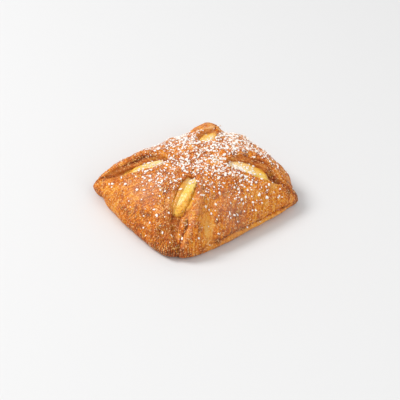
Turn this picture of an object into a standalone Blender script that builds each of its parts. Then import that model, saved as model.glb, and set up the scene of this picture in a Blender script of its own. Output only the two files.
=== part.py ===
"""A quark pastry: a square of laminated dough folded over a quark filling.

The four corners of the dough are drawn over the filling to the middle, so the baked pastry has
four flaps. Where two flaps meet, on each diagonal, a slit opens and the filling shows.
Metres, +Z up. The origin is on the table, under the middle of the pastry's outline.
"""

from dataclasses import dataclass

import bmesh
import bpy
import numpy as np

MM = 0.001

# Driving dimensions of the whole pastry
HEIGHT = 39.5 * MM  # crown of the dome above the table, before its relief
CROWN_X = 0.65 * MM  # where the seams meet, off the middle of the outline
CROWN_Y = 2.3 * MM
RIM_HEIGHT = 8 * MM  # height of the widest outline
TUCK = 0.07  # share of the half width that the foot draws in under the rim
FLAT_SHARE = 0.70  # share of the foot's outline within which the underside is one flat face
RELIEF = 0.5 * MM  # height of the blisters and wrinkles of the crust
RELIEF_SHORTEST = 9 * MM  # wavelengths of that relief
RELIEF_LONGEST = 26 * MM
RELIEF_WAVES = 12

# The edges of the flaps
CREASE_GAP = 0.4 * MM  # half width of the seam near the crown, where two flaps touch
CREASE_DEPTH = 1.2 * MM
CREASE_LIP = 0.7 * MM  # radius of a flap's edge there
SLIT_LIP = 2.4 * MM  # the same where the slit is open
CURL_WIDTH = 7 * MM  # how far in from its edge a flap curls up
LAYER_STEP = 0.35 * MM  # how far the flaky layers stand out, one after the other, in a slit

# The filling, measured inwards from the outside of the crust
FLAP_COVER = 10 * MM  # dough over the filling, away from the slits
FILLING_REACH = 0.77  # share of the outline that the filling fills
FILLING_FLOOR = 9.0 * MM  # dough under the filling
FILLING_BELLY = 0.03  # how far its sides bulge, as a share of their distance from the middle
RIDGE_WIDTH = 14 * MM  # half width of the ridge that swells up into a slit
RIDGE_OVERRUN = 0.1  # how far that ridge runs on past the slit, as a share of the way out
SKIN_GAP = 0.3 * MM  # clearance between the filling and the dough round it

# The largest lumps of sugar on the crust
LUMPS = 70
LUMP_SMALLEST = 0.85 * MM  # radius
LUMP_LARGEST = 1.3 * MM
LUMP_SPACING = 4 * MM
LUMP_SINK = 0.35  # share of the lump's height that sits below the crust's surface
LUMP_HUDDLE = 1.25  # 1 spreads the lumps evenly, more draws them to the crown

SHARP_ANGLE = 50  # degrees between two faces above which their edge is shown sharp


@dataclass
class Corner:
    """One corner of the square, and the slit between the two flaps that meet on its diagonal."""

    x: float  # the tip, measured from the crown
    y: float
    rounding: float  # how far the tip is drawn in by its rounding
    curl: float  # height of the tip's underside above the table
    rim: float  # height of the widest outline at the tip
    slope: float  # 1 is a full round shoulder, more falls away sooner
    swerve: float  # how far the seam bows aside, clockwise seen from above
    slit_from: float  # shares of the way from the crown to the tip
    slit_to: float
    gap: float  # widest half opening, along the flap's own edge
    depth: float  # depth of the opening from the crust's outside
    seam_gap: float  # the same two where the seam runs on to the tip
    seam_depth: float
    seam_lip: float  # radius of the flaps' edges there
    inner_end: float  # bluntness of the slit's two ends: 0.5 is round, less is square
    outer_end: float
    sink: float  # depth of the filling's ridge below the crust, at the slit's inner end
    sink_outer: float  # and at its outer end


@dataclass
class Flap:
    """One flap of dough, from the corner where it starts to the next one anticlockwise."""

    start: int
    end: int
    bulge: float  # how far the middle of the outline stands out
    puff: float  # how far the flap is blown up between its edges
    slope: float  # 1 is a full round shoulder, more falls away sooner
    start_lift: float  # how far the edge at the start slit curls up
    end_lift: float


@dataclass
class Swell:
    """A local hump or hollow of the crust."""

    x: float  # measured from the crown
    y: float
    heading: float  # direction of its long axis, in degrees from +X
    length: float
    width: float
    height: float


NEAR = Corner(
    x=-61 * MM, y=-53 * MM, rounding=5.5 * MM, curl=0, rim=7 * MM, slope=1.3, swerve=9 * MM,
    slit_from=0.27, slit_to=0.75, gap=7.0 * MM, depth=9 * MM,
    seam_gap=4.5 * MM, seam_depth=6 * MM, seam_lip=2.5 * MM, inner_end=0.4, outer_end=0.2,
    sink=2 * MM, sink_outer=4 * MM,
)
RIGHT = Corner(
    x=61.5 * MM, y=-52 * MM, rounding=-1 * MM, curl=0.5 * MM, rim=3.5 * MM, slope=1.15, swerve=5 * MM,
    slit_from=0.28, slit_to=0.84, gap=6.8 * MM, depth=9 * MM,
    seam_gap=0.8 * MM, seam_depth=2.5 * MM, seam_lip=1 * MM, inner_end=0.5, outer_end=0.5,
    sink=2.5 * MM, sink_outer=4 * MM,
)
BACK = Corner(
    x=58.5 * MM, y=51.5 * MM, rounding=3 * MM, curl=2 * MM, rim=11 * MM, slope=1.2, swerve=5 * MM,
    slit_from=0.32, slit_to=0.73, gap=9 * MM, depth=9 * MM,
    seam_gap=0.6 * MM, seam_depth=1.5 * MM, seam_lip=1 * MM, inner_end=0.5, outer_end=0.15,
    sink=2 * MM, sink_outer=2 * MM,
)
LEFT = Corner(
    x=-63.5 * MM, y=51.5 * MM, rounding=1 * MM, curl=0, rim=8 * MM, slope=1.3, swerve=-6 * MM,
    slit_from=0.30, slit_to=0.90, gap=6.5 * MM, depth=9 * MM,
    seam_gap=0.8 * MM, seam_depth=2 * MM, seam_lip=1 * MM, inner_end=0.5, outer_end=0.5,
    sink=2.0 * MM, sink_outer=5.5 * MM,
)
CORNERS = (NEAR, RIGHT, BACK, LEFT)

FRONT_RIGHT = Flap(0, 1, bulge=6 * MM, puff=2 * MM, slope=1.2, start_lift=1.5 * MM, end_lift=-0.5 * MM)
BACK_RIGHT = Flap(1, 2, bulge=5 * MM, puff=4 * MM, slope=0.75, start_lift=4.5 * MM, end_lift=0)
BACK_LEFT = Flap(2, 3, bulge=2.5 * MM, puff=2 * MM, slope=0.95, start_lift=1 * MM, end_lift=5 * MM)
FRONT_LEFT = Flap(3, 0, bulge=4 * MM, puff=2 * MM, slope=1.05, start_lift=-1 * MM, end_lift=0.5 * MM)
FLAPS = (FRONT_RIGHT, BACK_RIGHT, BACK_LEFT, FRONT_LEFT)

SWELLS = (
    Swell(44 * MM, 43 * MM, 135, 9 * MM, 9 * MM, 1.5 * MM),  # the hood behind the back slit
    Swell(54 * MM, 27 * MM, 45, 22 * MM, 7 * MM, -5 * MM),  # the notch on its right
    Swell(24 * MM, 46 * MM, 0, 10 * MM, 10 * MM, -2.5 * MM),  # the dip on its left
    Swell(-36 * MM, -42 * MM, 45, 16 * MM, 5 * MM, 3.5 * MM),  # ridge beside the near seam
    Swell(-28 * MM, -49 * MM, 50, 11 * MM, 5 * MM, -3.5 * MM),  # hollow that follows it
)

# How finely the surfaces are drawn
TOP_ROWS = 25
UNDER_ROWS = 4
FLAP_COLUMNS = 16
LIP_COLUMNS = 3
WALL_COLUMNS = 3
FILLING_ROWS = 13
FILLING_SIDE_ROWS = 3
FILLING_COLUMNS = 12


def bump(share, start, end, inner_end, outer_end):
    """0 outside start..end and 1 in the middle of it, with each flank as blunt as asked."""
    inside = np.clip((share - start) / (end - start), 0, 1)
    steepness = np.where(inside < 0.5, inner_end, outer_end)
    return np.sin(np.pi * inside) ** steepness


def smooth_step(value, start, end):
    share = np.clip((value - start) / (end - start), 0, 1)
    return share * share * (3 - 2 * share)


def unit(vector):
    return vector / np.linalg.norm(vector)


def tip_of(corner):
    return np.array([corner.x, corner.y])


def relief(points):
    """Height of the blisters and wrinkles at each point: a sum of waves in scattered directions."""
    draw = np.random.default_rng(7)
    total = np.zeros(points.shape[:-1])
    for length in np.geomspace(RELIEF_SHORTEST, RELIEF_LONGEST, RELIEF_WAVES):
        direction = unit(draw.normal(size=3))
        phase = draw.uniform(0, 2 * np.pi)
        wave = np.sin(2 * np.pi * points @ direction / length + phase)
        total += wave * (length / RELIEF_LONGEST) ** 0.5
    return RELIEF * total / 3


def swell_height(points):
    """Height of the local humps and hollows at each point."""
    total = np.zeros(points.shape[:-1])
    for swell in SWELLS:
        angle = np.radians(swell.heading)
        dx = points[..., 0] - swell.x
        dy = points[..., 1] - swell.y
        along = (dx * np.cos(angle) + dy * np.sin(angle)) / swell.length
        aside = (dy * np.cos(angle) - dx * np.sin(angle)) / swell.width
        total += swell.height * np.exp(-(along**2) - aside**2)
    return total


@dataclass
class Rows:
    """Rows of a surface that runs from the crown down to the rim, and on in under the foot."""

    out: np.ndarray  # share of the way out
    dome: np.ndarray  # share of the dome's height
    rim: np.ndarray  # share of the rim's height
    normal_out: np.ndarray  # the outward normal
    normal_up: np.ndarray


def rows_above(rise):
    """Rows between the crown, where the rise is 0, and the rim, where it is a quarter turn."""
    return Rows(np.sin(rise), np.cos(rise), np.ones_like(rise), np.sin(rise), np.cos(rise))


def rows_under(turn):
    """Rows between the rim, where the turn is 0, and the foot, where it is a quarter turn."""
    out = 1 - TUCK * (1 - np.cos(turn))
    return Rows(out, np.zeros_like(turn), 1 - np.sin(turn), np.cos(turn), -np.sin(turn))


def joined_rows(upper, lower):
    names = ("out", "dome", "rim", "normal_out", "normal_up")
    return Rows(*[np.concatenate([getattr(upper, name), getattr(lower, name)]) for name in names])


def quarter_turn(steps):
    return np.linspace(0, np.pi / 2, steps + 1)[1:, None]


def slit_shape(corner, out):
    """Half gap, depth and lip radius of the seam on a corner's diagonal, at each row."""
    opening = bump(out, corner.slit_from, corner.slit_to, corner.inner_end, corner.outer_end)
    outer = smooth_step(out, corner.slit_from, corner.slit_to)
    closing = 1 - smooth_step(out, corner.slit_to, 1)
    fade = np.clip(out / corner.slit_from, 0, 1)
    seam_gap = CREASE_GAP + (corner.seam_gap - CREASE_GAP) * outer * closing
    seam_depth = CREASE_DEPTH + (corner.seam_depth - CREASE_DEPTH) * outer * closing
    seam_lip = CREASE_LIP + (corner.seam_lip - CREASE_LIP) * outer * closing
    cut = opening**0.7
    gap = (seam_gap + (corner.gap - seam_gap) * opening) * fade
    depth = (seam_depth + (corner.depth - seam_depth) * cut) * fade
    lip = (seam_lip + (SLIT_LIP - seam_lip) * cut) * fade
    return gap, depth, lip


def flap_length(flap, out):
    """Distance between the flap's two corners at each row."""
    return np.linalg.norm(tip_of(CORNERS[flap.end]) - tip_of(CORNERS[flap.start])) * out


def flap_plan(flap, out, share):
    """Where a flap's points lie seen from above, and which way they face."""
    start, end = CORNERS[flap.start], CORNERS[flap.end]
    tip_a, tip_b = tip_of(start), tip_of(end)
    outward = unit(np.array([tip_b[1] - tip_a[1], tip_a[0] - tip_b[0]]))
    across = 2 * share - 1
    at_end = across > 0
    diagonal = np.where(at_end[..., None], unit(tip_b), unit(tip_a))
    clockwise = np.stack([diagonal[..., 1], -diagonal[..., 0]], axis=-1)
    bulge = flap.bulge * (1 - across**4) * out**2
    rounding = np.where(at_end, end.rounding, start.rounding) * across**6 * out**2
    bow = np.sin(np.pi * np.clip(out, 0, 1) ** 2)
    swerve = np.where(at_end, end.swerve, start.swerve) * np.abs(across) ** 3 * bow
    plan = out[..., None] * (tip_a + (tip_b - tip_a) * share[..., None])
    plan = plan + bulge[..., None] * outward - rounding[..., None] * diagonal
    plan = plan + swerve[..., None] * clockwise
    heading = outward + (diagonal - outward) * across[..., None] ** 4
    return plan, heading / np.linalg.norm(heading, axis=-1, keepdims=True)


def flap_surface(flap, rows, along, inwards, lift):
    """Points of one flap at each row and at distances along it, and their outward normals.

    The points are pushed inwards by a depth, and lifted outwards by the curl of the edge.
    """
    start, end = CORNERS[flap.start], CORNERS[flap.end]
    share = np.clip(along / flap_length(flap, rows.out), 0, 1)
    across = 2 * share - 1
    at_end = across > 0
    near_tip = across**4
    plan, heading = flap_plan(flap, rows.out, share)
    rim_height = RIM_HEIGHT + (np.where(at_end, end.rim, start.rim) - RIM_HEIGHT) * near_tip
    slope = flap.slope + (np.where(at_end, end.slope, start.slope) - flap.slope) * near_tip
    curl = np.where(at_end, end.curl, start.curl) * near_tip * np.clip(rows.out, 0, 1) ** 4
    height = curl + rim_height * rows.rim + (HEIGHT - rim_height) * rows.dome**slope
    upper = np.where(rows.normal_up > 0, np.clip(rows.out, 0, 1), 1)
    puff = flap.puff * (1 - across**2) * np.sin(np.pi * upper)
    points = np.concatenate([plan, np.maximum(height, 0)[..., None]], axis=-1)
    up = np.broadcast_to(rows.normal_up[..., None], height.shape + (1,))
    normal = np.concatenate([heading * rows.normal_out[..., None], up], axis=-1)
    return points + normal * (puff + lift - inwards)[..., None], normal


def crust_surface(flap, rows, along, inwards):
    """The outside of the crust, with the curled edges of the flap, its relief and its swells."""
    from_end = flap_length(flap, rows.out) - along
    start_edge = (flap.start, flap.start_lift, along)
    end_edge = (flap.end, flap.end_lift, from_end)
    lift = 0
    for index, edge_lift, distance in (start_edge, end_edge):
        corner = CORNERS[index]
        gap, _, lip = slit_shape(corner, rows.out)
        beside_slit = bump(rows.out, corner.slit_from, corner.slit_to, 0.8, 0.8)
        lift = lift + edge_lift * beside_slit * np.exp(-(((distance - gap - lip) / CURL_WIDTH) ** 2))
    points, normal = flap_surface(flap, rows, along, inwards, lift)
    bumps = (relief(points) + swell_height(points)) * rows.rim
    return points + normal * bumps[..., None], normal


def edge_section(corner, out):
    """Section of a flap's edge at each row, from the bottom of the slit up and over the lip.

    It gives the distance from the seam and the depth below the crust's outside, column by column.
    """
    gap, depth, lip = slit_shape(corner, out)
    up_wall = np.linspace(1, 0, WALL_COLUMNS + 1)[None, :-1]
    turn = np.linspace(0, np.pi / 2, LIP_COLUMNS + 1)[None, :-1]
    along = np.hstack([gap + 0 * up_wall, gap + lip * (1 - np.cos(turn))])
    drop = np.hstack([lip + (depth - lip) * up_wall, lip * (1 - np.sin(turn))])
    layers = np.where(np.arange(along.shape[1]) % 2, 1, -1)
    beside_slit = bump(out, corner.slit_from, corner.slit_to, 0.8, 0.8)
    return along + LAYER_STEP / 2 * layers * beside_slit, drop


def crust_grid():
    """The outside of the crust as rows of points, anticlockwise from the near corner's slit."""
    rows = joined_rows(rows_above(quarter_turn(TOP_ROWS)), rows_under(quarter_turn(UNDER_ROWS)))
    middle = np.linspace(0, 1, FLAP_COLUMNS + 1)[None, :]
    bands = []
    for flap in FLAPS:
        start, end = CORNERS[flap.start], CORNERS[flap.end]
        length = flap_length(flap, rows.out)
        start_along, start_drop = edge_section(start, rows.out)
        end_along, end_drop = edge_section(end, rows.out)
        start_gap, _, start_lip = slit_shape(start, rows.out)
        end_gap, _, end_lip = slit_shape(end, rows.out)
        inner = start_gap + start_lip + (length - start_gap - start_lip - end_gap - end_lip) * middle
        along = np.hstack([start_along, inner, length - end_along[:, ::-1]])
        drop = np.hstack([start_drop, 0 * inner, end_drop[:, ::-1]])
        bands.append(crust_surface(flap, rows, along, drop)[0])
    grid = []
    for index, band in enumerate(bands):
        seam = (bands[index - 1][:, -1] + band[:, 0]) / 2
        grid += [seam[:, None], band]
    return np.concatenate(grid, axis=1)


def filling_grid(growth):
    """The outside of the filling: the dome of the crust, sunk by the dough that covers it.

    The growth makes it larger all round, for the hollow that it fills.
    """
    rows = rows_above(np.linspace(0, np.arcsin(FILLING_REACH), FILLING_ROWS + 1)[1:, None])
    share = np.linspace(0, 1, FILLING_COLUMNS + 1)[None, :-1]
    bands = []
    for flap in FLAPS:
        length = flap_length(flap, rows.out)
        along = length * share
        cover = FLAP_COVER + 0 * along
        for index, distance in ((flap.start, along), (flap.end, length - along)):
            corner = CORNERS[index]
            first, last = corner.slit_from - RIDGE_OVERRUN, corner.slit_to + RIDGE_OVERRUN
            ridge = bump(rows.out, first, last, 0.3, 0.3) * np.exp(-((distance / RIDGE_WIDTH) ** 4))
            outer = smooth_step(rows.out, corner.slit_from, corner.slit_to)
            sink = corner.sink + (corner.sink_outer - corner.sink) * outer
            cover = cover - (FLAP_COVER - sink) * ridge
        bands.append(flap_surface(flap, rows, along, cover - growth, 0)[0])
    rings = list(np.concatenate(bands, axis=1))
    brink = rings[-1]
    for down in np.linspace(0, 1, FILLING_SIDE_ROWS + 1)[1:]:
        ring = brink.copy()
        ring[:, :2] *= 1 + FILLING_BELLY * np.sin(np.pi * down)
        ring[:, 2] += (FILLING_FLOOR - growth - ring[:, 2]) * down
        rings.append(ring)
    return np.array(rings)


def closed_mesh(name, grid, crown_height, foot_height):
    """A closed mesh from rows of points round the crown, with one point to close each end."""
    columns = grid.shape[1]
    offset = (CROWN_X, CROWN_Y, 0)
    bm = bmesh.new()
    rings = [[bm.verts.new(point + offset) for point in row] for row in grid]
    top = bm.verts.new((CROWN_X, CROWN_Y, crown_height))
    bottom = bm.verts.new((CROWN_X, CROWN_Y, foot_height))
    for i in range(columns):
        j = (i + 1) % columns
        bm.faces.new((top, rings[0][i], rings[0][j]))
        bm.faces.new((bottom, rings[-1][j], rings[-1][i]))
        for upper, lower in zip(rings, rings[1:]):
            bm.faces.new((upper[i], lower[i], lower[j], upper[j]))
    mesh = bpy.data.meshes.new(name)
    bm.to_mesh(mesh)
    bm.free()
    return mesh


def crust_mesh():
    grid = crust_grid()
    flat = grid[-1] * (FLAT_SHARE, FLAT_SHARE, 0)
    grid = np.concatenate([grid, flat[None]], axis=0)
    return closed_mesh("crust", grid, grid[0][:, 2].max(), 0)


def filling_mesh(growth):
    grid = filling_grid(growth)
    return closed_mesh("filling", grid, grid[0][:, 2].max(), FILLING_FLOOR - growth)


def lump_places(crust):
    """Where the largest lumps of sugar lie on the crust: their middles and radii, largest first."""
    draw = np.random.default_rng(11)
    radii = np.sort(draw.uniform(LUMP_SMALLEST, LUMP_LARGEST, LUMPS))[::-1]
    places = []
    while len(places) < LUMPS:
        radius = radii[len(places)]
        flap = FLAPS[draw.integers(len(FLAPS))]
        rise = np.arcsin(draw.uniform(0.03, 0.9) ** (LUMP_HUDDLE / 2))
        rows = rows_above(np.array([[rise]]))
        length = flap_length(flap, rows.out)[0, 0]
        along = length * draw.uniform()
        start_gap, _, start_lip = slit_shape(CORNERS[flap.start], rows.out)
        end_gap, _, end_lip = slit_shape(CORNERS[flap.end], rows.out)
        from_start = along - (start_gap + start_lip)[0, 0]
        from_end = length - along - (end_gap + end_lip)[0, 0]
        if min(from_start, from_end) < radius:
            continue
        point = crust_surface(flap, rows, np.array([[along]]), 0)[0][0, 0] + (CROWN_X, CROWN_Y, 0)
        _, spot, normal, _ = crust.closest_point_on_mesh(point)
        middle = spot + normal * radius * (1 - 2 * LUMP_SINK)
        if all((middle - other).length > LUMP_SPACING for other, _ in places):
            places.append((middle, radius))
    return places


def lump_mesh(draw, radius):
    """One uneven crystal lump."""
    bm = bmesh.new()
    bmesh.ops.create_icosphere(bm, subdivisions=1, radius=radius)
    stretch = draw.uniform(0.75, 1.15, 3)
    for vert in bm.verts:
        for axis in range(3):
            vert.co[axis] *= stretch[axis] * draw.uniform(0.9, 1.1)
    mesh = bpy.data.meshes.new("sugar lump")
    bm.to_mesh(mesh)
    bm.free()
    return mesh


def add_object(name, mesh, collection):
    obj = bpy.data.objects.new(name, mesh)
    collection.objects.link(obj)
    return obj


def fuse_lumps(crust):
    """Joins the lumps of sugar to the crust by one union, and clears their objects away."""
    draw = np.random.default_rng(5)
    pile = bpy.data.collections.new("sugar lumps")
    bpy.context.scene.collection.children.link(pile)
    for middle, radius in lump_places(crust):
        lump = add_object("sugar lump", lump_mesh(draw, radius), pile)
        lump.location = middle
        lump.rotation_euler = draw.uniform(0, 2 * np.pi, 3)
    union = crust.modifiers.new("sugar lumps", "BOOLEAN")
    union.operation = "UNION"
    union.solver = "EXACT"
    union.operand_type = "COLLECTION"
    union.collection = pile
    bpy.context.view_layer.update()
    evaluated = crust.evaluated_get(bpy.context.evaluated_depsgraph_get())
    crust.data = bpy.data.meshes.new_from_object(evaluated)
    crust.modifiers.clear()
    for lump in list(pile.objects):
        bpy.data.objects.remove(lump, do_unlink=True)
    bpy.data.collections.remove(pile)


def cut_cavity(crust):
    """Hollows the crust for the filling, with the skin gap all round it."""
    cutter = add_object("filling cutter", filling_mesh(SKIN_GAP), bpy.context.scene.collection)
    cutter.hide_render = True
    cutter.display_type = "WIRE"
    cavity = crust.modifiers.new("cavity", "BOOLEAN")
    cavity.operation = "DIFFERENCE"
    cavity.solver = "EXACT"
    cavity.object = cutter


def add_material(obj, name, colour, roughness):
    material = bpy.data.materials.new(name)
    material.use_nodes = True
    shader = material.node_tree.nodes["Principled BSDF"]
    shader.inputs["Base Color"].default_value = (*colour, 1)
    shader.inputs["Roughness"].default_value = roughness
    shader.inputs["Metallic"].default_value = 0
    obj.data.materials.append(material)


def shade(obj):
    obj.data.shade_smooth()
    obj.data.set_sharp_from_angle(angle=np.radians(SHARP_ANGLE))


def main():
    for obj in list(bpy.data.objects):
        bpy.data.objects.remove(obj, do_unlink=True)
    scene_collection = bpy.context.scene.collection
    crust = add_object("crust", crust_mesh(), scene_collection)
    filling = add_object("filling", filling_mesh(0), scene_collection)
    fuse_lumps(crust)
    shade(crust)
    shade(filling)
    add_material(crust, "baked dough", (0.50, 0.19, 0.05), 0.5)
    add_material(filling, "baked quark", (0.85, 0.55, 0.10), 0.4)
    cut_cavity(crust)


main()
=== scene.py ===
import bpy
import numpy as np
from mathutils import Matrix, Vector


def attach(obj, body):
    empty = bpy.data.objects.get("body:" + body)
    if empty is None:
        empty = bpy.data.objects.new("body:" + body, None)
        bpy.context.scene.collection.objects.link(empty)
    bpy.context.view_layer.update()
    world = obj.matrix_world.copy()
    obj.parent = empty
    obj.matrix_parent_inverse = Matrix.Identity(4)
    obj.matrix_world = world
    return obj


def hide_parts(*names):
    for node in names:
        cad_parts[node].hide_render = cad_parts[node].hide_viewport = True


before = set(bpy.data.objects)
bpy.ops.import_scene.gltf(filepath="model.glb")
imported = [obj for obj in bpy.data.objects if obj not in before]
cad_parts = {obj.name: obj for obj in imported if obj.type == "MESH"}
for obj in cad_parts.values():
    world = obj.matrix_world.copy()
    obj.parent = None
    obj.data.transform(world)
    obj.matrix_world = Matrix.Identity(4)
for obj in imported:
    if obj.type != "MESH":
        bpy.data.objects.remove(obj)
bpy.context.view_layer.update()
mm = 0.001

# The pastry's form, the same named sizes as its solids have. Lengths in metres, measured from the
# crown, where the four seams meet.
pastry = {
    "height": 39.5 * mm,
    "crownX": 0.65 * mm,
    "crownY": 2.3 * mm,
    "rimHeight": 8 * mm,
    "tuck": 0.07,  # share of the half width that the foot draws in
    "flatShare": 0.70,
    "relief": 0.5 * mm,
    "reliefShortest": 9 * mm,
    "reliefLongest": 26 * mm,
    "reliefWaves": 12,
    "creaseGap": 0.4 * mm,
    "creaseDepth": 1.2 * mm,
    "creaseLip": 0.7 * mm,
    "slitLip": 2.4 * mm,
    "curlWidth": 7 * mm,
}

# One entry for each corner: its tip, how it is rounded, and the slit on its diagonal.
cornerNames = ("x", "y", "rounding", "curl", "rim", "slope", "swerve", "slitFrom", "slitTo", "gap", "depth",
               "seamGap", "seamDepth", "seamLip", "innerEnd", "outerEnd", "sink", "sinkOuter")
cornerUnits = (mm, mm, mm, mm, mm, 1, mm, 1, 1, mm, mm, mm, mm, mm, 1, 1, mm, mm)
cornerSizes = {
    "near": (-61, -53, 5.5, 0, 7, 1.3, 9, 0.27, 0.75, 7, 9, 4.5, 6, 2.5, 0.4, 0.2, 2, 4),
    "right": (61.5, -52, -1, 0.5, 3.5, 1.15, 5, 0.28, 0.84, 6.8, 9, 0.8, 2.5, 1, 0.5, 0.5, 2.5, 4),
    "back": (58.5, 51.5, 3, 2, 11, 1.2, 5, 0.32, 0.73, 9, 9, 0.6, 1.5, 1, 0.5, 0.15, 2, 2),
    "left": (-63.5, 51.5, 1, 0, 8, 1.3, -6, 0.30, 0.90, 6.5, 9, 0.8, 2, 1, 0.5, 0.5, 2, 5.5),
}
corners = {
    name: {key: size * unit for key, size, unit in zip(cornerNames, sizes, cornerUnits)} | {"seamFade": 1}
    for name, sizes in cornerSizes.items()
}

# One entry for each flap, from the corner where it starts to the next one anticlockwise.
flapNames = ("start", "end", "slope", "bulge", "puff", "startLift", "endLift")
flapSizes = {
    "frontRight": ("near", "right", 1.2, 6 * mm, 2 * mm, 1.5 * mm, -0.5 * mm),
    "backRight": ("right", "back", 0.75, 5 * mm, 4 * mm, 4.5 * mm, 0),
    "backLeft": ("back", "left", 0.95, 2.5 * mm, 2 * mm, 1 * mm, 5 * mm),
    "frontLeft": ("left", "near", 1.05, 4 * mm, 2 * mm, -1 * mm, 0.5 * mm),
}
flaps = {name: dict(zip(flapNames, sizes)) for name, sizes in flapSizes.items()}

# Local humps and hollows: x, y, heading of the long axis in degrees, length, width, height in mm.
swells = {
    "hood": (44, 43, 135, 9, 9, 1.5),
    "notch": (54, 27, 45, 22, 7, -5),
    "dip": (24, 46, 0, 10, 10, -2.5),
    "ridge": (-36, -42, 45, 16, 5, 3.5),
    "hollow": (-28, -49, 50, 11, 5, -3.5),
}


def bump(share, start, end, innerEnd, outerEnd):
    # a half wave of the sine between start and end, raised to a power on each flank
    inside = np.clip((share - start) / (end - start), 0, 1)
    return np.sin(np.pi * inside) ** np.where(inside < 0.5, innerEnd, outerEnd)


def ease(value, start, end):
    # the cubic 3s^2 - 2s^3 of the share of the way from start to end; where end is below start, it falls
    share = np.clip((value - start) / (end - start), 0, 1)
    return share * share * (3 - 2 * share)


def between(value, start, full, fullEnd, end):
    # rises from 0 to 1 between the first two limits, and falls back to 0 between the last two
    return ease(value, start, full) * ease(value, end, fullEnd)


def hill(value, middle, width):
    # a Gaussian hill, 1 at its middle
    return np.exp(-(((value - middle) / width) ** 2))


def unitVector(vector):
    return vector / np.linalg.norm(vector, axis=-1, keepdims=True)


def tipOf(name):
    return np.array([corners[name]["x"], corners[name]["y"]])


def noiseAt(points, size, seed):
    # value noise from -1 to 1: a scrambled number at each corner of a lattice of that cell size,
    # blended across the cell by the cubic of ease
    scaled = points / size + seed * 7.31
    cell = np.floor(scaled).astype(np.int64)
    share = scaled - cell
    share = share * share * (3 - 2 * share)
    total = 0
    for index in range(8):
        offset = np.array([index & 1, index >> 1 & 1, index >> 2 & 1])
        key = ((cell + offset) * (73856093, 19349663, 83492791)).sum(axis=-1) + seed * 40503
        key = (key ^ (key >> 13)) * 1274126177 & 0xFFFFFFFF
        value = ((key ^ (key >> 15)) & 0xFFFF) / 32767.5 - 1
        total = total + value * np.prod(np.where(offset == 1, share, 1 - share), axis=-1)
    return total


def wrinkles(points):
    # the solids' own relief: a sum of sine waves in scattered directions, longer waves higher
    draw = np.random.default_rng(7)
    total = 0
    for length in np.geomspace(pastry["reliefShortest"], pastry["reliefLongest"], pastry["reliefWaves"]):
        direction = unitVector(draw.normal(size=3))
        phase = draw.uniform(0, 2 * np.pi)
        wave = np.sin(2 * np.pi * points @ direction / length + phase)
        total = total + wave * (length / pastry["reliefLongest"]) ** 0.5
    return pastry["relief"] * total / 3


def swellShare(points, name):
    # a Gaussian hill of the swell's own length and width, 1 at its middle
    x, y, heading, length, width, _ = swells[name]
    angle = np.radians(heading)
    dx = points[..., 0] - x * mm
    dy = points[..., 1] - y * mm
    along = (dx * np.cos(angle) + dy * np.sin(angle)) / (length * mm)
    aside = (dy * np.cos(angle) - dx * np.sin(angle)) / (width * mm)
    return np.exp(-(along**2) - aside**2)


def surfaceRows(topRise, underTurn):
    # rows from the crown to the rim, out = sin and dome = cos of the rise, then in under the foot,
    # out = 1 - tuck (1 - cos) and rim = 1 - sin of the turn; the normal turns by the same angles
    rise = np.asarray(topRise)[:, None]
    turn = np.asarray(underTurn)[:, None]
    return {
        "out": np.concatenate([np.sin(rise), 1 - pastry["tuck"] * (1 - np.cos(turn))]),
        "dome": np.concatenate([np.cos(rise), 0 * turn]),
        "rim": np.concatenate([np.ones_like(rise), 1 - np.sin(turn)]),
        "normalOut": np.concatenate([np.sin(rise), np.cos(turn)]),
        "normalUp": np.concatenate([np.cos(rise), -np.sin(turn)]),
    }


def slitShape(corner, out):
    # half gap, depth and lip radius at each row: those of the open slit times its bump, else those
    # of the seam, which closes towards the tip and fades towards the crown
    opening = bump(out, corner["slitFrom"], corner["slitTo"], corner["innerEnd"], corner["outerEnd"])
    outer = ease(out, corner["slitFrom"], corner["slitTo"])
    closing = outer * ease(out, 1, corner["slitTo"])
    fade = np.clip(out / corner["slitFrom"], 0, 1) ** corner["seamFade"]
    shape = []
    for key, full, power in ("Gap", corner["gap"], 1), ("Depth", corner["depth"], 0.7), ("Lip", pastry["slitLip"], 0.7):
        seam = pastry["crease" + key] + (corner["seam" + key] - pastry["crease" + key]) * closing
        shape.append((seam + (full - seam) * opening**power) * fade)
    return shape


def besideSlit(corner, out):
    return bump(out, corner["slitFrom"], corner["slitTo"], 0.8, 0.8)


def flapLength(flap, out):
    return np.linalg.norm(tipOf(flap["end"]) - tipOf(flap["start"])) * out


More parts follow.
